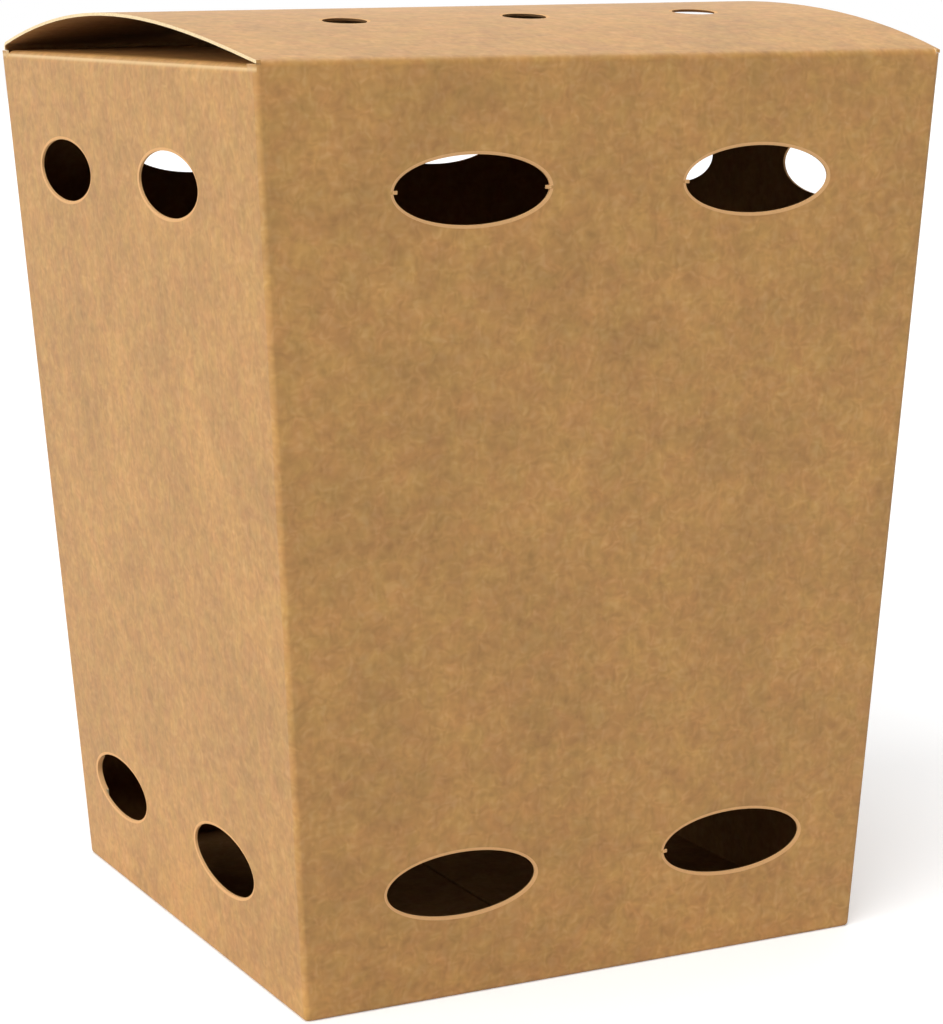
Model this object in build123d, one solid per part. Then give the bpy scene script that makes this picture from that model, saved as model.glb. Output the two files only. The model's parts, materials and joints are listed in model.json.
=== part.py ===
from build123d import *
import math
import os

# Fries box folded from one sheet of kraft board, glued into a tapered carton
# whose front wall carries an arched lid with a tuck flap
# Origin at the middle of the base, +Z up, front wall towards -Y, millimetres

# Board
board = 0.6

# Carton, outside sizes at the base and at the lid crease
height = 180.0
top_width = 144.5
top_depth = 146.5
base_width = 123.0
base_depth = 124.5
corner_round = 1.2
base_round = 0.9

# Lid crease at the top of the front wall, with the slit that lets the lid turn
crease_slit = 0.1

# How much higher the walls' rim lies at the back than at the front
rear_rim_rise = 1.3

# Lid, arched by its tuck flap, with the right side bowed higher than the left
lid_side_inset = 0.4
lid_rear_rise = 2.2
left_front_slope = 9.6
left_rear_slope = 11.3
left_bow = 52.0
right_front_slope = 16.7
right_rear_slope = 12.4
right_bow = 46.0

# Tuck flap inside the back wall, as wide as the walls allow at its fold and narrower at its edge
tuck_length = 18.0
tuck_side_gap = 2.0
tuck_clearance = 0.3
tuck_corner = 9.0
fold_round = 1.1

# Dust flaps folded in from the side walls
dust_flap_depth = 36.0
dust_flap_relief = 3.5
dust_flap_taper = 8.0
dust_flap_tilt = 1.2
dust_flap_corner = 7.0
dust_fold_height = 4.0
dust_fold_round = 2.0

# Oval vents through the walls
vent_length = 31.7
vent_height = 12.8
vent_spacing = 60.7
upper_vent_drop = 23.9
back_vent_drop = 20.8
lower_vent_rise = 23.0
left_lower_rise = 21.9
right_lower_rise = 24.2
front_vent_shift = 0.9
front_lower_shift = 1.4
side_vent_shift = -5.7
back_vent_shift = -1.7
nick_length = 0.8
nick_width = 0.7

# Round vents in a row across the lid
lid_vent_diameter = 8.6
lid_vent_spacing = 38.7
lid_vent_shift = 2.3
lid_vent_reach = 42.0

# Glue lap on the inside of the left wall
lap_width = 14.0
lap_end_gap = 6.0

# Seams of the glued bottom flaps
seam = 0.8
seam_border = 1.3

# Values that follow from the sizes above
rim = height - board - crease_slit
floor_top = 2 * board
side_lean = math.atan((top_width - base_width) / 2 / height)
end_lean = math.atan((top_depth - base_depth) / 2 / height)
side_inset = board / math.cos(side_lean)
end_inset = board / math.cos(end_lean)
inner_round = corner_round - board
side_slope = height / math.cos(side_lean)
end_slope = height / math.cos(end_lean)
past = 5.0
beyond = 2 * height


def half_width(level):
    return (base_width + (top_width - base_width) * level / height) / 2


def half_depth(level):
    return (base_depth + (top_depth - base_depth) * level / height) / 2


def rim_level(y):
    # Height of the rim, which climbs from the front wall to the back wall
    return rim + rear_rim_rise * (y / half_depth(rim) + 1) / 2


def section(points):
    return make_face(Polyline(*points, close=True))


def tapered(low, high, inset_x, inset_y, rounding):
    # Four flat leaning walls with rounded upright corners
    low_x = half_width(low) - inset_x
    high_x = half_width(high) - inset_x
    low_y = half_depth(low) - inset_y
    high_y = half_depth(high) - inset_y
    front_view = section([(-low_x, low), (low_x, low), (high_x, high), (-high_x, high)])
    side_view = section([(-low_y, low), (low_y, low), (high_y, high), (-high_y, high)])
    body = extrude(Plane.XZ * front_view, amount=beyond, both=True)
    body &= extrude(Plane.YZ * side_view, amount=beyond, both=True)
    uprights = body.edges().filter_by(lambda edge: edge.bounding_box().size.Z > past)
    return fillet(uprights, rounding)


def wall_plane(reach, lean):
    # Outside face of a wall that faces -Y, with its origin at the middle of the bottom fold
    return Plane(origin=(0, -reach, 0), x_dir=(1, 0, 0), z_dir=(0, -math.cos(lean), -math.sin(lean)))


def miter(corner, first, second):
    # Inside corner of a folded board from its outside corner and both inward normals
    return corner + (first + second) * (board / (1 + first.dot(second)))


# Walls and floor
outer = tapered(0, rim + past, 0, 0, corner_round)
bottom_edges = outer.edges().group_by(Axis.Z)[0]
outer = fillet(bottom_edges, base_round)
inner = tapered(floor_top, rim + 2 * past, side_inset, end_inset, inner_round)
above_rim = section(
    [
        (-top_depth, rim_level(-top_depth)),
        (top_depth, rim_level(top_depth)),
        (top_depth, beyond),
        (-top_depth, beyond),
    ]
)
carton = outer - inner - extrude(Plane.YZ * above_rim, amount=beyond, both=True)

# Seams between the outer bottom flaps, which come from the front and back walls
flap_x = base_width / 2 - seam_border
flap_y = base_depth / 2 - seam_border
carton -= Pos(0, 0, board / 2) * Box(2 * flap_x, seam, board)
for side in (-1, 1):
    carton -= Pos(side * flap_x, 0, board / 2) * Box(seam / 2, 2 * flap_y, board)

# Seams between the inner bottom flaps, which come from the side walls
carton -= Pos(0, 0, board * 1.5) * Box(seam, 2 * flap_y, board)
for side in (-1, 1):
    carton -= Pos(0, side * flap_y, board * 1.5) * Box(2 * flap_x, seam / 2, board)

# Glue lap, from the back wall round the rear left corner
lap_outline = section(
    [
        (-base_depth / 2, lap_end_gap),
        (lap_width - base_depth / 2, lap_end_gap + lap_width / 4),
        (lap_width - top_depth / 2, side_slope - lap_end_gap - lap_width / 4),
        (-top_depth / 2, side_slope - lap_end_gap),
    ]
)
lap = extrude(wall_plane(base_width / 2, side_lean) * lap_outline, amount=-floor_top)
lap = Rot(0, 0, -90) * lap
lap -= Rot(0, 0, -90) * extrude(wall_plane(base_width / 2, side_lean) * lap_outline, amount=-board / 2)
carton += lap & outer

# Dust flaps, folded inward under the lid from a fold that climbs with the rim
fold_level = rim_level(0)
fold_low = rim - dust_fold_height - rear_rim_rise
root_half = half_depth(rim) - dust_flap_relief
free_half = root_half - dust_flap_depth * math.tan(math.radians(dust_flap_taper))
tilt = math.radians(dust_flap_tilt)
rim_slope = rear_rim_rise / (2 * half_depth(rim))
fold_line = Vector(rim_slope * math.tan(side_lean), 1, rim_slope)
fold_corner = Vector(half_width(fold_level), 0, fold_level)
flap_in = Vector(-math.cos(tilt), 0, math.sin(tilt))
flap_normal = Vector(-math.sin(tilt), 0, -math.cos(tilt))
wall_normal = Vector(-math.cos(side_lean), 0, math.sin(side_lean))
flap_end = fold_corner + flap_in * dust_flap_depth
fold_low_point = Vector(half_width(fold_low), 0, fold_low)
profile = section(
    [
        fold_low_point,
        fold_corner,
        flap_end,
        flap_end + flap_normal * board,
        miter(fold_corner, flap_normal, wall_normal),
        fold_low_point - Vector(side_inset, 0, 0),
    ]
)
fold_edge = profile.vertices().sort_by_distance(fold_corner)[0]
profile = fillet(fold_edge, dust_fold_round)
inside_corner = miter(fold_corner, flap_normal, wall_normal)
inside_edge = profile.vertices().sort_by_distance(inside_corner)[0]
profile = fillet(inside_edge, dust_fold_round - board)
flap_x_end = half_width(rim) - dust_flap_depth
plan = section(
    [
        (half_width(rim) + board, -root_half),
        (half_width(rim) - past, -root_half),
        (flap_x_end - board, -free_half),
        (flap_x_end - board, free_half),
        (half_width(rim) - past, root_half),
        (half_width(rim) + board, root_half),
    ]
)
plan_corners = plan.vertices().group_by(Axis.X)[0]
plan = fillet(plan_corners, dust_flap_corner)
flap = extrude(profile, amount=root_half * fold_line.length, dir=fold_line, both=True)
flap &= Pos(0, 0, fold_low - past) * extrude(plan, amount=dust_fold_height + 3 * past)
relief = Pos(half_width(rim), 0, rim) * Box(4 * board, 2 * root_half, 2 * dust_fold_height)
carton = carton - relief - mirror(relief, Plane.YZ)
carton = carton + flap + mirror(flap, Plane.YZ)


# Oval vents, some with the small tabs of board that held the waste in the die
def vents(turn, reach, lean, lower, upper):
    # Lower and upper are each a row's shift along the wall, its height above the bottom fold,
    # and the nicked ends of its left and right vent
    ovals = Sketch()
    for shift, rise, nicks in (lower, upper):
        for side, ends in zip((-1, 1), nicks):
            oval = Ellipse(vent_length / 2, vent_height / 2)
            for end in ends:
                oval -= Pos(end * vent_length / 2, 0) * Rectangle(2 * nick_length, nick_width)
            ovals += Pos(shift + side * vent_spacing / 2, rise) * oval
    return Rot(0, 0, turn) * extrude(wall_plane(reach, lean) * ovals, amount=past, both=True)


no_nicks = ((), ())
front_lower = (front_lower_shift, lower_vent_rise, ((), (-1,)))
front_upper = (front_vent_shift, end_slope - upper_vent_drop, ((-1, 1), (-1,)))
back_lower = (back_vent_shift, lower_vent_rise, no_nicks)
back_upper = (back_vent_shift, end_slope - back_vent_drop, no_nicks)
right_lower = (side_vent_shift, right_lower_rise, no_nicks)
left_lower = (side_vent_shift, left_lower_rise, no_nicks)
side_upper = (side_vent_shift, side_slope - upper_vent_drop, no_nicks)
carton -= vents(0, base_depth / 2, end_lean, front_lower, front_upper)
carton -= vents(90, base_width / 2, side_lean, right_lower, side_upper)
carton -= vents(180, base_depth / 2, end_lean, back_lower, back_upper)
carton -= vents(-90, base_width / 2, side_lean, left_lower, side_upper)

# Lid crease line, and how far back the tuck flap may reach when it swings
hinge_y = -half_depth(height)
back_inside = half_depth(rim) - end_inset
swing = back_inside - tuck_clearance - hinge_y
rear_top = height + lid_rear_rise
tip_level = rear_top - tuck_length
fold_y = hinge_y + math.sqrt(swing**2 - lid_rear_rise**2)
swing_tip = hinge_y + math.sqrt(swing**2 - (height - tip_level) ** 2)
wall_tip = half_depth(tip_level) - end_inset - tuck_clearance
tip_y = min(swing_tip, wall_tip)


def lid_section(x, front_angle, rear_angle, bow):
    # Board section from the crease over the arch and the rear fold to the tuck flap's edge
    rise = math.radians(front_angle)
    fall = math.radians(rear_angle)
    crease = Vector(x, hinge_y, height)
    corner = Vector(x, fold_y, rear_top)
    tip = Vector(x, tip_y, tip_level)
    leave = Vector(0, math.cos(rise), math.sin(rise))
    arrive = Vector(0, math.cos(fall), -math.sin(fall))
    down = (tip - corner).normalized()
    lid_normal = Vector(0, -math.sin(fall), -math.cos(fall))
    flap_normal = Vector(0, down.Z, -down.Y)
    inside = miter(corner, lid_normal, flap_normal)
    under = crease - Vector(0, 0, board / math.cos(rise))
    half_turn = math.acos(arrive.dot(down)) / 2
    trim = fold_round * math.tan(half_turn)
    inner_trim = (fold_round - board) * math.tan(half_turn)
    over_end = corner - arrive * trim
    under_end = inside - arrive * inner_trim
    flap_start = corner + down * trim
    flap_inner_start = inside + down * inner_trim
    tip_inner = tip + flap_normal * board
    outline = [
        Bezier(crease, crease + leave * bow, over_end - arrive * bow, over_end),
        TangentArc(over_end, flap_start, tangent=arrive),
        Line(flap_start, tip),
        Line(tip, tip_inner),
        Line(tip_inner, flap_inner_start),
        TangentArc(flap_inner_start, under_end, tangent=-down),
        Bezier(under_end, under_end - arrive * bow, under + leave * bow, under),
        Line(under, crease),
    ]
    return make_face(outline)


# Lid panel and tuck flap
lid_half = top_width / 2 - lid_side_inset
left_section = lid_section(-lid_half, left_front_slope, left_rear_slope, left_bow)
right_section = lid_section(lid_half, right_front_slope, right_rear_slope, right_bow)
lid = loft([left_section, right_section], ruled=True)

# Tuck flap, as wide as the lid above the rim, then tapering between the side walls to rounded corners
tuck_half = half_width(tip_level) - side_inset - board - tuck_side_gap
fold_half = half_width(rim) - side_inset - tuck_clearance
shoulder = min(rear_top - fold_round, rim_level(fold_y) + crease_slit)
tuck_shape = section(
    [
        (-tuck_half, tip_level),
        (tuck_half, tip_level),
        (fold_half, shoulder),
        (fold_half, shoulder + past),
        (-fold_half, shoulder + past),
        (-fold_half, shoulder),
    ]
)
tuck_shape = fillet(tuck_shape.vertices().group_by(Axis.Y)[0], tuck_corner)
tuck_keep = extrude(Plane.XZ * tuck_shape, amount=beyond, both=True)
tuck_zone = Pos(0, fold_y, shoulder - height / 2) * Box(2 * top_width, 2 * fold_round + 2 * past, height)
lid -= tuck_zone - tuck_keep

# Vents across the lid
for index in (-1, 0, 1):
    place = Pos(lid_vent_shift + index * lid_vent_spacing, hinge_y + lid_vent_reach, height)
    lid -= place * Cylinder(lid_vent_diameter / 2, height / 2)

os.makedirs("parts", exist_ok=True)
export_step(carton, "parts/carton.step")
export_step(lid, "parts/lid.step")
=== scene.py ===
import json
import math
from collections import namedtuple

import bmesh
import bpy
from mathutils import Matrix, Vector
from mathutils.bvhtree import BVHTree


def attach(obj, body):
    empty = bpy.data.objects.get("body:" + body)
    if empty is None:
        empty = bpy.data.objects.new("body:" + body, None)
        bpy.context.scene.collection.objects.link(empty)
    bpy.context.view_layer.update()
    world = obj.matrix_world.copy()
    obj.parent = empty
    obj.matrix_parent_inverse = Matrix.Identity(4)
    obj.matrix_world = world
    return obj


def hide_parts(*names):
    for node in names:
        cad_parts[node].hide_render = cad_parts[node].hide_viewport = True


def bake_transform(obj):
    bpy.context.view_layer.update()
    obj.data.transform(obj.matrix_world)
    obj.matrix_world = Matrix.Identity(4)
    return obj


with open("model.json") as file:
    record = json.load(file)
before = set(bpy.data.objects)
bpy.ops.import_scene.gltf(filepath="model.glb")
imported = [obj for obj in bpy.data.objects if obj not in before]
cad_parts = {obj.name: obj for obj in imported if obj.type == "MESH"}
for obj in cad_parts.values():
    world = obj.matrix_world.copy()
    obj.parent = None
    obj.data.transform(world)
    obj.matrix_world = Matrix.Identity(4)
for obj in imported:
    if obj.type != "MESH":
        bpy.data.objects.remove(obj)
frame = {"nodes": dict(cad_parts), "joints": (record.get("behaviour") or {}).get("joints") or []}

bl_info = {
    "name": "Fries box",
    "version": (1, 0, 0),
    "blender": (4, 5, 0),
    "location": "3D View > Sidebar > Fries box",
    "description": "A tapered kraft board takeaway box with oval vents and an arched lid",
    "category": "Object",
}

MM = 0.001
HINGE = Vector(frame["joints"][0]["pos_m"])
SENSOR_WIDTH = 36

# Material slots of every board piece: its outer face, its die-cut edges and its inner ply
FACE, EDGE, INSIDE = range(3)
OUTER_BOARD = "kraft_board_calendered"
CUT_EDGE = "kraft_board_die_cut"
# The inner ply's material is painted darker than the board, as shade inside the box
INNER_PLY_PAINTED_SHADE = "kraft_board_inner_ply_painted_shade"
CRUSHED_RIM = "kraft_board_crushed"

# In metres: points closer than this are one point, a ray starts this far under a face, and a point this
# near a wall's plane lies in it
WELD = 1e-6
RAY_START = 1e-5
IN_PLANE = 1e-5

# How much larger a cutter is than its hole, and how far the crease's cutter stays off the upright creases
CUT_GROW = 0.03 * MM
CREASE_CLEAR = 0.05 * MM

# Folds sharper than these angles keep a hard edge, on the board and on the strip across the crease
BOARD_SHARP = math.radians(32)
STRIP_SHARP = math.radians(50)

# A wall's foot, its directions along, up and out, and its height along the slope
Wall = namedtuple("Wall", "foot across upward outward slope")


def linear(hex_code):
    # sRGB hex to the linear colour that the shaders take
    channels = []
    for start in (1, 3, 5):
        value = int(hex_code[start:start + 2], 16) / 255
        channels.append(value / 12.92 if value <= 0.04045 else ((value + 0.055) / 1.055) ** 2.4)
    return (*channels, 1.0)


class FriesBoxSizes(bpy.types.PropertyGroup):
    board: bpy.props.FloatProperty(
        name="Board", description="Thickness of the kraft board", default=0.6 * MM, unit="LENGTH")
    height: bpy.props.FloatProperty(
        name="Height", description="Height of the lid crease", default=HINGE.z, unit="LENGTH")
    top_width: bpy.props.FloatProperty(
        name="Top width", description="Outside width at the lid crease", default=144.5 * MM, unit="LENGTH")
    top_depth: bpy.props.FloatProperty(
        name="Top depth", description="Outside depth at the lid crease",
        default=-2 * HINGE.y, unit="LENGTH")
    base_width: bpy.props.FloatProperty(
        name="Base width", description="Outside width at the base", default=123 * MM, unit="LENGTH")
    base_depth: bpy.props.FloatProperty(
        name="Base depth", description="Outside depth at the base", default=124.5 * MM, unit="LENGTH")
    corner_round: bpy.props.FloatProperty(
        name="Corner rounding", description="Outside radius of the upright creases",
        default=1.2 * MM, unit="LENGTH")
    vent_length: bpy.props.FloatProperty(
        name="Vent length", description="Long axis of a wall vent", default=31.7 * MM, unit="LENGTH")
    vent_height: bpy.props.FloatProperty(
        name="Vent height", description="Short axis of a wall vent", default=12.8 * MM, unit="LENGTH")
    vent_spacing: bpy.props.FloatProperty(
        name="Vent spacing", description="Distance between two vents in a row",
        default=60.7 * MM, unit="LENGTH")
    upper_drop: bpy.props.FloatProperty(
        name="Upper vents", description="The front and side walls' upper vents below the lid crease",
        default=23.9 * MM, unit="LENGTH")
    back_drop: bpy.props.FloatProperty(
        name="Back upper vents", description="The back wall's upper vents below the crease",
        default=20.8 * MM, unit="LENGTH")
    lower_rise: bpy.props.FloatProperty(
        name="Lower vents", description="The front and back walls' lower vents above the bottom fold",
        default=23.0 * MM, unit="LENGTH")
    left_lower_rise: bpy.props.FloatProperty(
        name="Left lower vents", description="The left wall's lower vents above the bottom fold",
        default=21.9 * MM, unit="LENGTH")
    right_lower_rise: bpy.props.FloatProperty(
        name="Right lower vents", description="The right wall's lower vents above the bottom fold",
        default=24.2 * MM, unit="LENGTH")
    front_shift: bpy.props.FloatProperty(
        name="Front upper shift", description="The upper front vents off the wall's middle",
        default=0.9 * MM, unit="LENGTH")
    front_lower_shift: bpy.props.FloatProperty(
        name="Front lower shift", description="The lower front vents off the wall's middle",
        default=1.4 * MM, unit="LENGTH")
    side_shift: bpy.props.FloatProperty(
        name="Side shift", description="The side vents off the wall's middle",
        default=-5.7 * MM, unit="LENGTH")
    back_shift: bpy.props.FloatProperty(
        name="Back shift", description="The back vents off the wall's middle",
        default=-1.7 * MM, unit="LENGTH")
    nick_length: bpy.props.FloatProperty(
        name="Nick length", description="How far a nick stands into its vent",
        default=0.8 * MM, unit="LENGTH")
    nick_width: bpy.props.FloatProperty(
        name="Nick width", description="Width of a nick", default=0.7 * MM, unit="LENGTH")
    lid_vent: bpy.props.FloatProperty(
        name="Lid vent", description="Diameter of a lid vent", default=8.6 * MM, unit="LENGTH")
    lid_vent_spacing: bpy.props.FloatProperty(
        name="Lid vent spacing", description="Distance between two lid vents",
        default=38.7 * MM, unit="LENGTH")
    lid_vent_shift: bpy.props.FloatProperty(
        name="Lid vent shift", description="The middle lid vent off the middle",
        default=2.3 * MM, unit="LENGTH")
    lid_vent_reach: bpy.props.FloatProperty(
        name="Lid vent reach", description="Lid vents behind the lid crease",
        default=42 * MM, unit="LENGTH")
    rear_rise: bpy.props.FloatProperty(
        name="Rear rise", description="How much the rim climbs to the back",
        default=1.3 * MM, unit="LENGTH")
    crush: bpy.props.FloatProperty(
        name="Crushed rim", description="Width of board that the die crushed round a vent",
        default=0.6 * MM, unit="LENGTH")
    crush_depth: bpy.props.FloatProperty(
        name="Crush depth", description="Depth of the crushed rim", default=0.12 * MM, unit="LENGTH")
    fold_round: bpy.props.FloatProperty(
        name="Fold rounding", description="Outside radius of the lid crease",
        default=1.5 * MM, unit="LENGTH")
    fold_reach: bpy.props.FloatProperty(
        name="Fold reach", description="Board either side of the lid crease",
        default=3.4 * MM, unit="LENGTH")


class FriesBoxColours(bpy.types.PropertyGroup):
    board: bpy.props.FloatVectorProperty(
        name="Kraft board", description="Face of the board",
        size=4, subtype="COLOR", default=linear("#C18F4F"))
    # Darker than the board's own colour: painted shade for the dim inside of the box
    inside: bpy.props.FloatVectorProperty(
        name="Inner ply", description="Inside face of the board",
        size=4, subtype="COLOR", default=linear("#966C3F"))
    pale_fibre: bpy.props.FloatVectorProperty(
        name="Pale fibres", description="Lighter fibres",
        size=4, subtype="COLOR", default=linear("#D2A56C"))
    dark_fibre: bpy.props.FloatVectorProperty(
        name="Dark fibres", description="Darker fibres",
        size=4, subtype="COLOR", default=linear("#A67840"))
    cut_edge: bpy.props.FloatVectorProperty(
        name="Cut edge", description="Die-cut edge of the board",
        size=4, subtype="COLOR", default=linear("#FBE3B4"))
    crushed: bpy.props.FloatVectorProperty(
        name="Crushed rim", description="Board crushed by the die round a vent",
        size=4, subtype="COLOR", default=linear("#E6B37A"))
    # Partly fibres stretched pale by scoring, partly a painted highlight where the side walls' top fold
    # faces the light
    crease: bpy.props.FloatVectorProperty(
        name="Scored crease", description="Fibres stretched pale along a scored crease",
        size=4, subtype="COLOR", default=linear("#EDCB94"))
    floor: bpy.props.FloatVectorProperty(
        name="Floor", description="Studio floor", size=4, subtype="COLOR", default=linear("#F4F4F4"))


class FriesBoxStage(bpy.types.PropertyGroup):
    camera_place: bpy.props.FloatVectorProperty(
        name="Camera", description="Where the camera stands", size=3, subtype="TRANSLATION", unit="LENGTH",
        default=(-0.2564, -0.5272, 0.1874))
    camera_turn: bpy.props.FloatVectorProperty(
        name="Camera turn", description="How the camera is turned",
        size=3, subtype="EULER", unit="ROTATION",
        default=(math.radians(79.91), math.radians(0.469), math.radians(-26.484)))
    lens: bpy.props.FloatProperty(
        name="Lens", description="Focal length in millimetres on a 36 mm sensor", default=98.23)
    world_level: bpy.props.FloatProperty(
        name="Room light", description="Even light from all round", default=0.03)
    key_level: bpy.props.FloatProperty(
        name="Key light", description="Level of the soft light from the front left", default=1.9)
    side_level: bpy.props.FloatProperty(
        name="Side light", description="Level of the soft light from the left", default=1.26)
    top_level: bpy.props.FloatProperty(
        name="Top light", description="Level of the soft light from above", default=1.04)
    floor_glow: bpy.props.FloatProperty(
        name="Floor glow", description="What the camera sees added to the floor's own light", default=0.3)
    floor_size: bpy.props.FloatProperty(
        name="Floor size", description="Side of the studio floor", default=12.0, unit="LENGTH")


def add_node(tree, kind, settings=None, links=None):
    node = tree.nodes.new(kind)
    for name, value in (settings or {}).items():
        setattr(node, name, value)
    for name, value in (links or {}).items():
        if isinstance(value, bpy.types.NodeSocket):
            tree.links.new(value, node.inputs[name])
        else:
            node.inputs[name].default_value = value
    return node


def new_material(name):
    material = bpy.data.materials.get(name)
    if material is None:
        material = bpy.data.materials.new(name)
    material.use_nodes = True
    material.node_tree.nodes.clear()
    return material


# Fibre and mottle sizes of the board, in millimetres. Real fibres are a few hundredths wide and are
# drawn coarser, so that they show
FIBRE_LENGTH = 3.0
FIBRE_WIDTH = 1.0
FLECK_SIZE = 2.4
CLOUD_SIZE = 6.0
DRIFT_SIZE = 24.0
TINT_SIZE = 4.5
CURL_SIZE = 3.5
CURL_REACH = 1.8
FIBRE_RELIEF = 0.03

# How far the fibres are turned off the box's axes, in radians
FIBRE_TURN = (0.3, 0.2, 0.4)

# Mean of the three fibre layers added up, how far from it a fibre shows fully, and how strongly it shows
FIBRE_MEAN = 1.5
FIBRE_SPREAD = 0.55
FIBRE_STRENGTH = 0.45

# How much flecks, clouds and drifts change the board's lightness, and how far its hue wanders as the noise
# goes from low to high
FLECK_AMOUNT = 0.34
CLOUD_AMOUNT = 0.34
DRIFT_AMOUNT = 0.36
HUE_WANDER = 0.0045
NOISE_LOW = 0.3
NOISE_HIGH = 0.7

# The pale line is partly stretched fibres and partly a painted highlight on the fold that faces the light
# Pale line of a scored crease, in millimetres: its depth under the rim and its half width, then its strength
SCORE_DEPTH = 1.0
SCORE_WIDTH = 0.65
SCORE_STRENGTH = 0.65

# Grain and relief of a cut edge, in millimetres, then the noise at which fibres start to show in it and how
# strongly they show
TEAR_GRAIN = 0.7
TEAR_RELIEF = 0.04
TEAR_START = 0.4
TEAR_STRENGTH = 0.5


def kraft_board_calendered(name, base, sizes, colours, roughness, sheen):
    # Uncoated kraft board, rolled smooth: matt brown with pale and dark fibres, clouds and a dull sheen
    material = new_material(name)
    tree = material.node_tree
    # The fibres are as much paler or darker than this ply as they are than the outer one
    pale_fibre = [ply * fibre / board for ply, fibre, board in zip(base, colours.pale_fibre, colours.board)]
    dark_fibre = [ply * fibre / board for ply, fibre, board in zip(base, colours.dark_fibre, colours.board)]
    place = add_node(tree, "ShaderNodeTexCoord")
    in_mm = add_node(
        tree, "ShaderNodeMapping", None, {"Vector": place.outputs["Object"], "Scale": (1 / MM,) * 3})
    curl = add_node(
        tree, "ShaderNodeTexNoise", None,
        {"Vector": in_mm.outputs[0], "Scale": 1 / CURL_SIZE, "Detail": 1.0})
    centred = add_node(
        tree, "ShaderNodeVectorMath", {"operation": "MULTIPLY_ADD"},
        {0: curl.outputs["Color"], 1: (2 * CURL_REACH,) * 3, 2: (-CURL_REACH,) * 3})
    curled = add_node(
        tree, "ShaderNodeVectorMath", {"operation": "ADD"}, {0: in_mm.outputs[0], 1: centred.outputs[0]})
    thin = 1 / FIBRE_WIDTH
    long = 1 / FIBRE_LENGTH
    fibres = None
    for scale in ((long, thin, thin), (thin, long, thin), (thin, thin, long)):
        stretched = add_node(
            tree, "ShaderNodeMapping", None,
            {"Vector": curled.outputs[0], "Scale": scale, "Rotation": FIBRE_TURN})
        layer = add_node(
            tree, "ShaderNodeTexNoise", None, {"Vector": stretched.outputs[0], "Scale": 1.0, "Detail": 0.5})
        if fibres is None:
            fibres = layer.outputs["Fac"]
        else:
            total = add_node(
                tree, "ShaderNodeMath", {"operation": "ADD"}, {0: fibres, 1: layer.outputs["Fac"]})
            fibres = total.outputs[0]
    fleck = add_node(
        tree, "ShaderNodeTexNoise", None,
        {"Vector": in_mm.outputs[0], "Scale": 1 / FLECK_SIZE, "Detail": 1.0})
    tint = add_node(
        tree, "ShaderNodeTexNoise", None,
        {"Vector": curled.outputs[0], "Scale": 1 / TINT_SIZE, "Detail": 1.0})
    cloud = add_node(
        tree, "ShaderNodeTexNoise", None,
        {"Vector": in_mm.outputs[0], "Scale": 1 / CLOUD_SIZE, "Detail": 2.0})
    drift = add_node(
        tree, "ShaderNodeTexNoise", None,
        {"Vector": in_mm.outputs[0], "Scale": 1 / DRIFT_SIZE, "Detail": 1.0})
    # Fibres above the mean of the three layers are pale, those below are dark
    pale = add_node(
        tree, "ShaderNodeMapRange", None,
        {"Value": fibres, "From Min": FIBRE_MEAN, "From Max": FIBRE_MEAN + FIBRE_SPREAD,
         "To Max": FIBRE_STRENGTH})
    dark = add_node(
        tree, "ShaderNodeMapRange", None,
        {"Value": fibres, "From Min": FIBRE_MEAN, "From Max": FIBRE_MEAN - FIBRE_SPREAD,
         "To Max": FIBRE_STRENGTH})
    paled = add_node(
        tree, "ShaderNodeMix", {"data_type": "RGBA"},
        {0: pale.outputs[0], 6: tuple(base), 7: pale_fibre})
    fibred = add_node(
        tree, "ShaderNodeMix", {"data_type": "RGBA"},
        {0: dark.outputs[0], 6: paled.outputs[2], 7: dark_fibre})
    shade = None
    for noise, amount in ((fleck, FLECK_AMOUNT), (cloud, CLOUD_AMOUNT), (drift, DRIFT_AMOUNT)):
        part = add_node(
            tree, "ShaderNodeMath", {"operation": "MULTIPLY_ADD"},
            {0: noise.outputs["Fac"], 1: amount, 2: -amount / 2})
        if shade is None:
            shade = part.outputs[0]
        else:
            total = add_node(tree, "ShaderNodeMath", {"operation": "ADD"}, {0: shade, 1: part.outputs[0]})
            shade = total.outputs[0]
    level = add_node(tree, "ShaderNodeMath", {"operation": "ADD"}, {0: shade, 1: 1.0})
    # Patches drift between a redder and an olive brown of the same lightness
    hue = add_node(
        tree, "ShaderNodeMapRange", None,
        {"Value": tint.outputs["Fac"], "From Min": NOISE_LOW, "From Max": NOISE_HIGH,
         "To Min": 0.5 - HUE_WANDER, "To Max": 0.5 + HUE_WANDER})
    tinted = add_node(
        tree, "ShaderNodeHueSaturation", None, {"Hue": hue.outputs[0], "Color": fibred.outputs[2]})
    tone = add_node(
        tree, "ShaderNodeVectorMath", {"operation": "SCALE"},
        {0: tinted.outputs[0], "Scale": level.outputs[0]})
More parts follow.
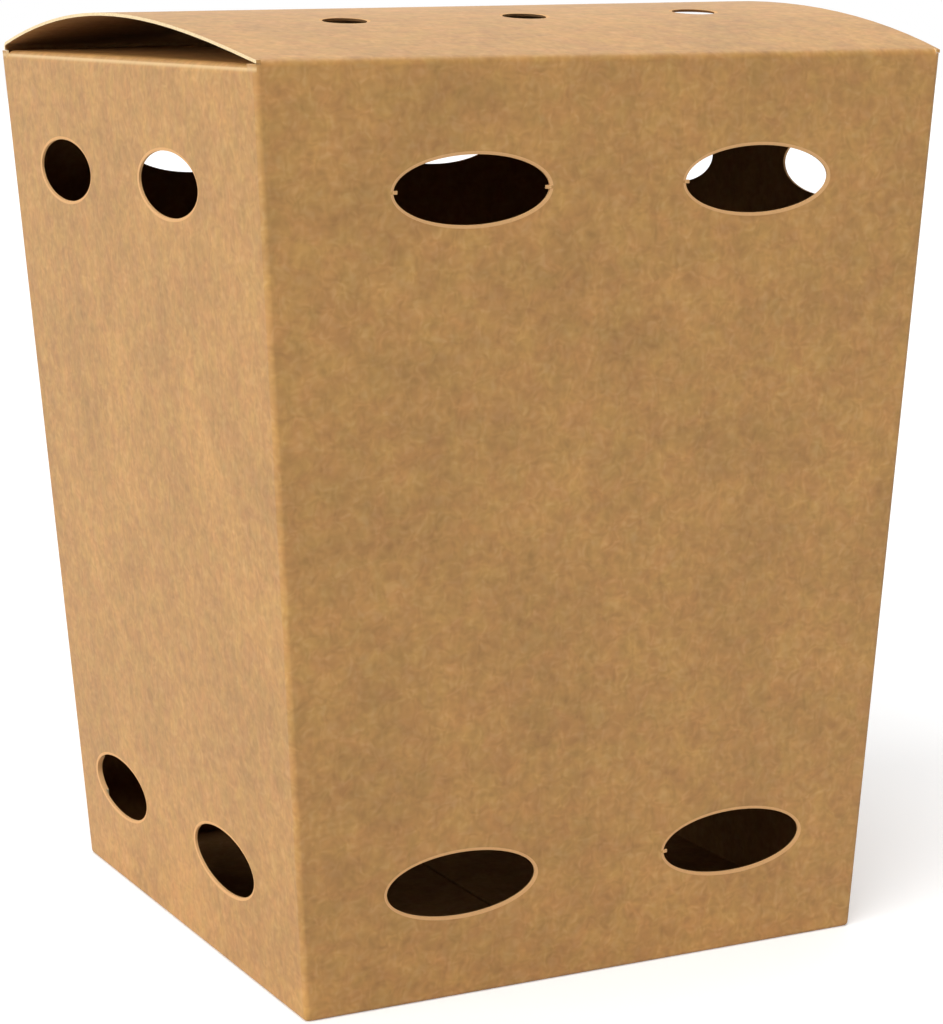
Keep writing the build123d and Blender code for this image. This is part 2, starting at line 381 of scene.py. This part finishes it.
    # Scored crease along the top of each side wall, paler partly from stretched fibres and partly as a
    # painted highlight on the lit fold: how far a point is under the rim and inside the wall
    axis = add_node(tree, "ShaderNodeSeparateXYZ", None, {0: in_mm.outputs[0]})
    climb = sizes.rear_rise / (2 * -HINGE.y)
    rim = (sizes.height - sizes.board + sizes.rear_rise / 2) / MM
    rim_here = add_node(
        tree, "ShaderNodeMath", {"operation": "MULTIPLY_ADD"}, {0: axis.outputs["Y"], 1: climb, 2: rim})
    under = add_node(
        tree, "ShaderNodeMath", {"operation": "SUBTRACT"}, {0: rim_here.outputs[0], 1: axis.outputs["Z"]})
    off_score = add_node(
        tree, "ShaderNodeMath", {"operation": "SUBTRACT"}, {0: under.outputs[0], 1: SCORE_DEPTH})
    beside = add_node(tree, "ShaderNodeMath", {"operation": "ABSOLUTE"}, {0: off_score.outputs[0]})
    highlight_band = add_node(
        tree, "ShaderNodeMapRange", {"interpolation_type": "SMOOTHSTEP"},
        {"Value": beside.outputs[0], "From Max": SCORE_WIDTH, "To Min": SCORE_STRENGTH, "To Max": 0.0})
    out_x = add_node(tree, "ShaderNodeMath", {"operation": "ABSOLUTE"}, {0: axis.outputs["X"]})
    on_side = add_node(
        tree, "ShaderNodeMath", {"operation": "GREATER_THAN"},
        {0: out_x.outputs[0], 1: (sizes.top_width / 2 - sizes.board) / MM})
    scored = add_node(
        tree, "ShaderNodeMath", {"operation": "MULTIPLY"}, {0: highlight_band.outputs[0], 1: on_side.outputs[0]})
    crease_highlighted = add_node(
        tree, "ShaderNodeMix", {"data_type": "RGBA"},
        {0: scored.outputs[0], 6: tone.outputs[0], 7: tuple(colours.crease)})
    # Flecks stand out from the face, and fibres half as far
    height = add_node(
        tree, "ShaderNodeMath", {"operation": "MULTIPLY_ADD"}, {0: fibres, 1: 0.5, 2: fleck.outputs["Fac"]})
    bump = add_node(
        tree, "ShaderNodeBump", None,
        {"Height": height.outputs[0], "Distance": FIBRE_RELIEF * MM, "Strength": 0.25})
    surface = add_node(
        tree, "ShaderNodeBsdfPrincipled", None,
        {"Base Color": crease_highlighted.outputs[2], "Roughness": roughness, "Specular IOR Level": sheen,
         "Normal": bump.outputs[0]})
    add_node(tree, "ShaderNodeOutputMaterial", None, {"Surface": surface.outputs[0]})


def kraft_board_cut(name, colour, colours):
    # The same board where the die cut or crushed it: paler and drier, with torn fibres
    material = new_material(name)
    tree = material.node_tree
    place = add_node(tree, "ShaderNodeTexCoord")
    in_mm = add_node(
        tree, "ShaderNodeMapping", None, {"Vector": place.outputs["Object"], "Scale": (1 / MM,) * 3})
    fray = add_node(
        tree, "ShaderNodeTexNoise", None,
        {"Vector": in_mm.outputs[0], "Scale": 1 / TEAR_GRAIN, "Detail": 3.0})
    torn = add_node(
        tree, "ShaderNodeMapRange", None,
        {"Value": fray.outputs["Fac"], "From Min": TEAR_START, "To Max": TEAR_STRENGTH})
    mixed = add_node(
        tree, "ShaderNodeMix", {"data_type": "RGBA"},
        {0: torn.outputs[0], 6: tuple(colour), 7: tuple(colours.pale_fibre)})
    bump = add_node(
        tree, "ShaderNodeBump", None,
        {"Height": fray.outputs["Fac"], "Distance": TEAR_RELIEF * MM, "Strength": 0.5})
    surface = add_node(
        tree, "ShaderNodeBsdfPrincipled", None,
        {"Base Color": mixed.outputs[2], "Roughness": 0.85, "IOR": 1.45, "Normal": bump.outputs[0]})
    add_node(tree, "ShaderNodeOutputMaterial", None, {"Surface": surface.outputs[0]})
    return material


def board_materials():
    # In the order of the slots
    return [bpy.data.materials[name] for name in (OUTER_BOARD, CUT_EDGE, INNER_PLY_PAINTED_SHADE)]


def new_piece(name, mesh, materials):
    for material in materials:
        mesh.materials.append(material)
    piece = bpy.data.objects.new(name, mesh)
    bpy.context.scene.collection.objects.link(piece)
    return piece


def node_surface(node):
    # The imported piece's own surface, for casting rays on
    shell = bmesh.new()
    shell.from_mesh(frame["nodes"][node].data)
    tree = BVHTree.FromBMesh(shell)
    shell.free()
    return tree


def faces_inside(node, middle, normal, sizes):
    # Whether a face belongs to the inner ply. The lid's looks down, or forward on its tuck flap
    if node == "lid":
        return normal.z < -0.2 or (normal.y < -0.5 and middle.y > 0)
    # The dust flaps' upper faces are the outside of the sheet
    if normal.z > 0.5 and middle.z > sizes.height / 2:
        return False
    # Elsewhere a point just off the face lies between the walls
    probe = middle + normal * MM
    share = probe.z / sizes.height
    half_x = (sizes.base_width + (sizes.top_width - sizes.base_width) * share) / 2 - sizes.board / 2
    half_y = (sizes.base_depth + (sizes.top_depth - sizes.base_depth) * share) / 2 - sizes.board / 2
    return probe.z > 0 and abs(probe.x) < half_x and abs(probe.y) < half_y


def board_copy(node, sizes):
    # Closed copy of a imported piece, with its faces sorted into the board's three materials
    source = frame["nodes"][node].data
    shell = bmesh.new()
    shell.from_mesh(source)
    bmesh.ops.remove_doubles(shell, verts=shell.verts, dist=WELD)
    bmesh.ops.recalc_face_normals(shell, faces=shell.faces)
    shell.normal_update()
    tree = BVHTree.FromBMesh(shell)
    for face in shell.faces:
        middle = face.calc_center_median()
        hit = tree.ray_cast(middle - face.normal * RAY_START, -face.normal)
        through = hit[3] if hit[0] is not None else 0.0
        # A ray into a cut edge runs along the board, and a ray into its face leaves after one to three
        # layers. The edges in the bottom's seams stay as dark as the inner ply instead of pale: painted
        # shade in the seams
        if through > 4 * sizes.board and middle.z > 3 * sizes.board:
            face.material_index = EDGE
        elif faces_inside(node, middle, face.normal, sizes):
            face.material_index = INSIDE
        else:
            face.material_index = FACE
    points = [tuple(vertex.co) for vertex in shell.verts]
    faces = [[vertex.index for vertex in face.verts] for face in shell.faces]
    slots = [face.material_index for face in shell.faces]
    shell.free()
    mesh = bpy.data.meshes.new(node + "_board")
    mesh.from_pydata(points, [], faces)
    mesh.polygons.foreach_set("material_index", slots)
    return mesh


def stack_loops(tool, loops):
    # Closed solid through loops of equal length
    rings = [[tool.verts.new(point) for point in loop] for loop in loops]
    count = len(rings[0])
    for upper, lower in zip(rings, rings[1:]):
        for index in range(count):
            after = (index + 1) % count
            tool.faces.new((upper[index], upper[after], lower[after], lower[index]))
    tool.faces.new(rings[0][::-1])
    tool.faces.new(rings[-1])


def finish_tool(name, tool, material):
    bmesh.ops.recalc_face_normals(tool, faces=tool.faces)
    mesh = bpy.data.meshes.new(name)
    tool.to_mesh(mesh)
    tool.free()
    return new_piece(name, mesh, [material])


def oval_outline(sizes, grow, nicked_ends, steps=44):
    # Vent outline, with a nick at each nicked end, and the outline where the cutter's slope starts. The
    # slope meets the board's face halfway, so it is twice as wide as the crushed rim
    far = sizes.vent_length / 2 + grow
    tall = sizes.vent_height / 2 + grow
    nick_half = sizes.nick_width / 2 - grow
    gap = math.asin(nick_half / tall)
    spread = 2 * sizes.crush
    inner = []
    outer = []
    for turn in (0, math.pi):
        for step in range(steps + 1):
            angle = turn + gap + (math.pi - 2 * gap) * step / steps
            inner.append((far * math.cos(angle), tall * math.sin(angle)))
            outer.append(((far + spread) * math.cos(angle), (tall + spread) * math.sin(angle)))
        side = -round(math.cos(turn))
        nick_tip = sizes.vent_length / 2 + grow - (sizes.nick_length if side in nicked_ends else 0)
        for lift in (-side, side):
            angle = turn + math.pi + lift * side * gap / 2
            inner.append((side * nick_tip, lift * nick_half))
            outer.append(((far + spread) * math.cos(angle), (tall + spread) * math.sin(angle)))
    return inner, outer


def wall_frames(sizes):
    # The front, right, back and left walls
    end = (sizes.base_depth / 2, math.atan((sizes.top_depth - sizes.base_depth) / 2 / sizes.height))
    side = (sizes.base_width / 2, math.atan((sizes.top_width - sizes.base_width) / 2 / sizes.height))
    walls = []
    for turn, (reach, lean) in zip((0, 90, 180, -90), (end, side, end, side)):
        spin = Matrix.Rotation(math.radians(turn), 3, "Z")
        walls.append(Wall(
            foot=spin @ Vector((0, -reach, 0)),
            across=spin @ Vector((1, 0, 0)),
            upward=spin @ Vector((0, -math.sin(lean), math.cos(lean))),
            outward=spin @ Vector((0, -math.cos(lean), -math.sin(lean))),
            slope=sizes.height / math.cos(lean)))
    return walls


def level_walls(piece, sizes):
    # Shades every face that lies in a wall's plane exactly flat
    mesh = piece.data
    normals = [corner.vector.copy() for corner in mesh.corner_normals]
    for wall in wall_frames(sizes):
        level = [abs((vertex.co - wall.foot).dot(wall.outward)) < IN_PLANE for vertex in mesh.vertices]
        for face in mesh.polygons:
            if all(level[index] for index in face.vertices):
                for corner in face.loop_indices:
                    normals[corner] = wall.outward
    mesh.normals_split_custom_set(normals)


def vent_rows(sizes, walls):
    # Each wall's lower and upper row: its shift along the wall, its height above the bottom fold, and the
    # nicked ends of its left and right vent
    no_nicks = ((), ())
    end_slope = walls[0].slope
    side_slope = walls[1].slope
    side_upper = (sizes.side_shift, side_slope - sizes.upper_drop, no_nicks)
    return (
        ((sizes.front_lower_shift, sizes.lower_rise, ((), (-1,))),
         (sizes.front_shift, end_slope - sizes.upper_drop, ((-1, 1), (-1,)))),
        ((sizes.side_shift, sizes.right_lower_rise, no_nicks), side_upper),
        ((sizes.back_shift, sizes.lower_rise, no_nicks),
         (sizes.back_shift, end_slope - sizes.back_drop, no_nicks)),
        ((sizes.side_shift, sizes.left_lower_rise, no_nicks), side_upper),
    )


def vent_tool(sizes, material):
    # Cutters for the sixteen wall vents, each with the crushed rim that the die leaves
    tool = bmesh.new()
    walls = wall_frames(sizes)
    through = 3 * sizes.board
    for wall, rows in zip(walls, vent_rows(sizes, walls)):
        for shift, rise, nicks in rows:
            for end, nicked_ends in zip((-1, 1), nicks):
                inner, outer = oval_outline(sizes, CUT_GROW, nicked_ends)
                half_spacing = end * sizes.vent_spacing / 2
                middle = wall.foot + wall.across * (shift + half_spacing) + wall.upward * rise
                loops = []
                for outline, depth in (
                    (outer, sizes.crush_depth), (inner, -sizes.crush_depth), (inner, -through),
                ):
                    loops.append([
                        middle + wall.across * x + wall.upward * y + wall.outward * depth
                        for x, y in outline])
                stack_loops(tool, loops)
    return finish_tool("vent_tool", tool, material)


def crease_tool(sizes, material):
    # Block that clears the board round the lid crease, where the folded strip takes over
    tool = bmesh.new()
    half = sizes.top_width / 2 - sizes.corner_round - CREASE_CLEAR
    front = HINGE.y - sizes.fold_reach
    back = HINGE.y + sizes.fold_reach
    loops = []
    for z in (sizes.height - sizes.fold_reach, sizes.height + 4 * sizes.fold_reach):
        corners = ((-half, front), (half, front), (half, back), (-half, back))
        loops.append([Vector((x, y, z)) for x, y in corners])
    stack_loops(tool, loops)
    return finish_tool("crease_tool", tool, material)


def lid_vent_tool(sizes, material, steps=40):
    # Cutters for the round vents, following the lid's arch
    tool = bmesh.new()
    surface = node_surface("lid")
    radius = sizes.lid_vent / 2 + CUT_GROW
    # The cutter's slope starts twice as far out as the crushed rim. Below it the punch tears the inner ply
    # wider than the hole
    crushed = 2 * sizes.crush
    torn = 3 * sizes.board
    torn_wider = 1.5 * torn
    for index in (-1, 0, 1):
        place = sizes.lid_vent_shift + index * sizes.lid_vent_spacing
        middle = Vector((place, HINGE.y + sizes.lid_vent_reach, 0))
        rim = []
        for step in range(steps):
            angle = 2 * math.pi * step / steps
            way = Vector((math.cos(angle), math.sin(angle), 0))
            # The lid's height is taken a millimetre outside the hole
            above = middle + way * (radius + MM) + Vector((0, 0, 2 * sizes.height))
            hit = surface.ray_cast(above, Vector((0, 0, -1)))
            if hit[0] is None:
                raise RuntimeError("the lid has no board round a vent")
            rim.append((way, hit[0].z))
        loops = []
        for grow, depth in ((crushed, sizes.crush_depth), (0, -sizes.crush_depth), (torn_wider, -torn)):
            loops.append([middle + way * (radius + grow) + Vector((0, 0, z + depth)) for way, z in rim])
        stack_loops(tool, loops)
    return finish_tool("lid_vent_tool", tool, material)


def cut_piece(piece, tools):
    for tool in tools:
        cut = piece.modifiers.new("cut", "BOOLEAN")
        cut.object = tool
        cut.operation = "DIFFERENCE"
        cut.solver = "MANIFOLD"
        cut.material_mode = "TRANSFER"
    settle(piece)
    for tool in tools:
        mesh = tool.data
        bpy.data.objects.remove(tool)
        bpy.data.meshes.remove(mesh)


def settle(piece):
    # Applies the modifiers, then smooths the folds and keeps the flat walls flat
    bpy.context.view_layer.update()
    mesh = bpy.data.meshes.new_from_object(piece.evaluated_get(bpy.context.evaluated_depsgraph_get()))
    piece.modifiers.clear()
    piece.data = mesh
    mesh.polygons.foreach_set("use_smooth", [True] * len(mesh.polygons))
    mesh.set_sharp_from_angle(angle=BOARD_SHARP)
    piece.modifiers.new("flat walls", "WEIGHTED_NORMAL").keep_sharp = True
    bpy.context.view_layer.update()
    mesh = bpy.data.meshes.new_from_object(piece.evaluated_get(bpy.context.evaluated_depsgraph_get()))
    piece.modifiers.clear()
    piece.data = mesh


class FRIESBOX_OT_carton(bpy.types.Operator):
    """Make the walls, bottom and dust flaps of the box"""
    bl_idname = "friesbox.carton"
    bl_label = "Make carton"

    def execute(self, context):
        sizes = context.scene.fries_box_sizes
        colours = context.scene.fries_box_colours
        kraft_board_calendered(OUTER_BOARD, colours.board, sizes, colours, roughness=0.5, sheen=0.5)
        # The inner ply has the same fibres and no sheen. Its colour is darker than the board's own: painted
        # shade for the dim inside of the box and the lid's underside
        kraft_board_calendered(INNER_PLY_PAINTED_SHADE, colours.inside, sizes, colours, roughness=0.95, sheen=0.1)
        edge = kraft_board_cut(CUT_EDGE, colours.cut_edge, colours)
        crushed = kraft_board_cut(CRUSHED_RIM, colours.crushed, colours)
        piece = new_piece("carton_board", board_copy("carton", sizes), board_materials())
        cut_piece(piece, [vent_tool(sizes, crushed), crease_tool(sizes, edge)])
        level_walls(piece, sizes)
        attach(piece, "box")
        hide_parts("carton")
        return {"FINISHED"}


class FRIESBOX_OT_lid(bpy.types.Operator):
    """Make the arched lid and its tuck flap"""
    bl_idname = "friesbox.lid"
    bl_label = "Make lid"

    def execute(self, context):
        sizes = context.scene.fries_box_sizes
        edge = bpy.data.materials[CUT_EDGE]
        crushed = bpy.data.materials[CRUSHED_RIM]
        piece = new_piece("lid_board", board_copy("lid", sizes), board_materials())
        cut_piece(piece, [lid_vent_tool(sizes, crushed), crease_tool(sizes, edge)])
        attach(piece, "lid")
        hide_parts("lid")
        return {"FINISHED"}


def surface_height(tree, x, y):
    # Height of the lid's outer face at a place
    hit = tree.ray_cast(Vector((x, y, 1)), Vector((0, 0, -1)))
    if hit[0] is None:
        raise RuntimeError("the lid has no board behind the crease")
    return hit[0].z


def crease_section(sizes, x, far_z, turns=8):
    # Outer line of the strip at one place along the crease, from the wall round the fold to the lid, each
    # point with its direction into the board
    lean = math.atan((sizes.top_depth - sizes.base_depth) / 2 / sizes.height)
    wall_up = Vector((0, -math.sin(lean), math.cos(lean)))
    wall_in = Vector((0, math.cos(lean), math.sin(lean)))
    crease = Vector((x, HINGE.y, HINGE.z))
    far = Vector((x, HINGE.y + sizes.fold_reach, far_z))
    lid_way = (far - crease).normalized()
    lid_in = Vector((0, lid_way.z, -lid_way.y))
    corner_turn = math.acos(wall_up.dot(lid_way))
    trim = sizes.fold_round * math.tan(corner_turn / 2)
    low = crease - wall_up * ((crease.z - (sizes.height - sizes.fold_reach)) / wall_up.z)
    start = crease - wall_up * trim
    centre = start + wall_in * sizes.fold_round
    line = [(low, wall_in), (low.lerp(start, 0.5), wall_in)]
    for step in range(turns + 1):
        inward = Matrix.Rotation(-corner_turn * step / turns, 3, "X") @ wall_in
        line.append((centre - inward * sizes.fold_round, inward))
    line.append((crease + lid_way * trim * 2, lid_in))
    line.append((far, lid_in))
    return line


class FRIESBOX_OT_crease(bpy.types.Operator):
    """Make the folded strip that joins the front wall to the lid"""
    bl_idname = "friesbox.crease"
    bl_label = "Make lid crease"

    def execute(self, context):
        sizes = context.scene.fries_box_sizes
        half = sizes.top_width / 2 - sizes.corner_round
        tree = node_surface("lid")
        columns = 60
        strip = bmesh.new()
        rows = []
        for column in range(columns + 1):
            x = -half + 2 * half * column / columns
            far_z = surface_height(tree, x, HINGE.y + sizes.fold_reach)
            line = crease_section(sizes, x, far_z)
            outside = [strip.verts.new(point) for point, inward in line]
            inside = [strip.verts.new(point + inward * sizes.board) for point, inward in line]
            rows.append(outside + inside[::-1])
        count = len(rows[0])
        for left, right in zip(rows, rows[1:]):
            for index in range(count):
                after = (index + 1) % count
                face = strip.faces.new((left[index], left[after], right[after], right[index]))
                face.material_index = INSIDE if index >= count // 2 else FACE
        for row in (rows[0], rows[-1]):
            strip.faces.new(row).material_index = EDGE
        bmesh.ops.recalc_face_normals(strip, faces=strip.faces)
        mesh = bpy.data.meshes.new("lid_crease_fold")
        strip.to_mesh(mesh)
        strip.free()
        piece = new_piece("lid_crease_fold", mesh, board_materials())
        mesh.polygons.foreach_set("use_smooth", [True] * len(mesh.polygons))
        mesh.set_sharp_from_angle(angle=STRIP_SHARP)
        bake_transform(piece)
        return {"FINISHED"}


def aim(thing, target):
    way = Vector(target) - thing.location
    thing.rotation_euler = way.to_track_quat("-Z", "Y").to_euler()


class FRIESBOX_OT_stage(bpy.types.Operator):
    """Make the studio floor, the light and the camera"""
    bl_idname = "friesbox.stage"
    bl_label = "Make stage"

    def execute(self, context):
        scene = context.scene
        stage = scene.fries_box_stage
        colours = scene.fries_box_colours
        scene.view_settings.view_transform = "Standard"

        # Matt painted floor that the camera sees as plain white wherever no shadow falls
        painted = new_material("studio_floor_matt_paint")
        tree = painted.node_tree
        matt = add_node(tree, "ShaderNodeBsdfDiffuse", None, {"Color": tuple(colours.floor)})
        path = add_node(tree, "ShaderNodeLightPath")
        glow = add_node(tree, "ShaderNodeEmission", None, {"Strength": stage.floor_glow})
        dark = add_node(tree, "ShaderNodeEmission", None, {"Strength": 0.0})
        seen = add_node(tree, "ShaderNodeMixShader", None, {
            "Fac": path.outputs["Is Camera Ray"], 1: dark.outputs[0], 2: glow.outputs[0]})
        both = add_node(tree, "ShaderNodeAddShader", None, {0: matt.outputs[0], 1: seen.outputs[0]})
        add_node(tree, "ShaderNodeOutputMaterial", None, {"Surface": both.outputs[0]})
        half = stage.floor_size / 2
        mesh = bpy.data.meshes.new("studio_floor")
        corners = [(-half, -half, 0), (half, -half, 0), (half, half, 0), (-half, half, 0)]
        mesh.from_pydata(corners, [], [(0, 1, 2, 3)])
        floor = new_piece("studio_floor", mesh, [painted])

        world = bpy.data.worlds.new("studio")
        world.use_nodes = True
        world.node_tree.nodes.clear()
        tree = world.node_tree
        path = add_node(tree, "ShaderNodeLightPath")
        pure = (1, 1, 1, 1)
        room = add_node(tree, "ShaderNodeBackground", None, {"Color": pure, "Strength": stage.world_level})
        white = add_node(tree, "ShaderNodeBackground", None, {"Color": pure, "Strength": 1.0})
        # The camera and the board's sheen both see the backdrop as white
        seen = add_node(tree, "ShaderNodeMath", {"operation": "MAXIMUM"}, {
            0: path.outputs["Is Camera Ray"], 1: path.outputs["Is Glossy Ray"]})
        choice = add_node(tree, "ShaderNodeMixShader", None, {
            "Fac": seen.outputs[0], 1: room.outputs[0], 2: white.outputs[0]})
        add_node(tree, "ShaderNodeOutputWorld", None, {"Surface": choice.outputs[0]})
        scene.world = world

        # Soft suns: level, then in degrees the direction round from the right, the height and the spread
        for name, level, around, above, spread in (
            ("key_light", stage.key_level, 230, 55, 40),
            ("side_light", stage.side_level, 180, 17, 40),
            ("top_light", stage.top_level, 60, 75, 50),
        ):
            lamp = bpy.data.lights.new(name, "SUN")
            lamp.energy = level
            lamp.angle = math.radians(spread)
            light = bpy.data.objects.new(name, lamp)
            scene.collection.objects.link(light)
            turn = math.radians(around)
            lift = math.radians(above)
            light.location = (
                math.cos(lift) * math.cos(turn), math.cos(lift) * math.sin(turn), math.sin(lift))
            aim(light, (0, 0, 0))

        lens = bpy.data.cameras.new("camera")
        lens.sensor_width = SENSOR_WIDTH
        lens.lens = stage.lens
        lens.clip_start = 0.01
        camera = bpy.data.objects.new("camera", lens)
        scene.collection.objects.link(camera)
        camera.location = stage.camera_place
        camera.rotation_euler = stage.camera_turn
        scene.camera = camera
        return {"FINISHED"}


class FRIESBOX_PT_panel(bpy.types.Panel):
    bl_idname = "FRIESBOX_PT_panel"
    bl_label = "Fries box"
    bl_space_type = "VIEW_3D"
    bl_region_type = "UI"
    bl_category = "Fries box"

    def draw(self, context):
        for operator in OPERATORS:
            self.layout.operator(operator.bl_idname)


OPERATORS = (FRIESBOX_OT_carton, FRIESBOX_OT_lid, FRIESBOX_OT_crease, FRIESBOX_OT_stage)
GROUPS = (FriesBoxSizes, FriesBoxColours, FriesBoxStage)


def register():
    for item in (*GROUPS, *OPERATORS, FRIESBOX_PT_panel):
        bpy.utils.register_class(item)
    bpy.types.Scene.fries_box_sizes = bpy.props.PointerProperty(type=FriesBoxSizes)
    bpy.types.Scene.fries_box_colours = bpy.props.PointerProperty(type=FriesBoxColours)
    bpy.types.Scene.fries_box_stage = bpy.props.PointerProperty(type=FriesBoxStage)


def unregister():
    del bpy.types.Scene.fries_box_stage
    del bpy.types.Scene.fries_box_colours
    del bpy.types.Scene.fries_box_sizes
    for item in (FRIESBOX_PT_panel, *OPERATORS[::-1], *GROUPS[::-1]):
        bpy.utils.unregister_class(item)


def main():
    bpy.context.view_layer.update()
    register()
    bpy.ops.friesbox.stage()
    bpy.ops.friesbox.carton()
    bpy.ops.friesbox.lid()
    bpy.ops.friesbox.crease()


if __name__ == "__main__":
    main()
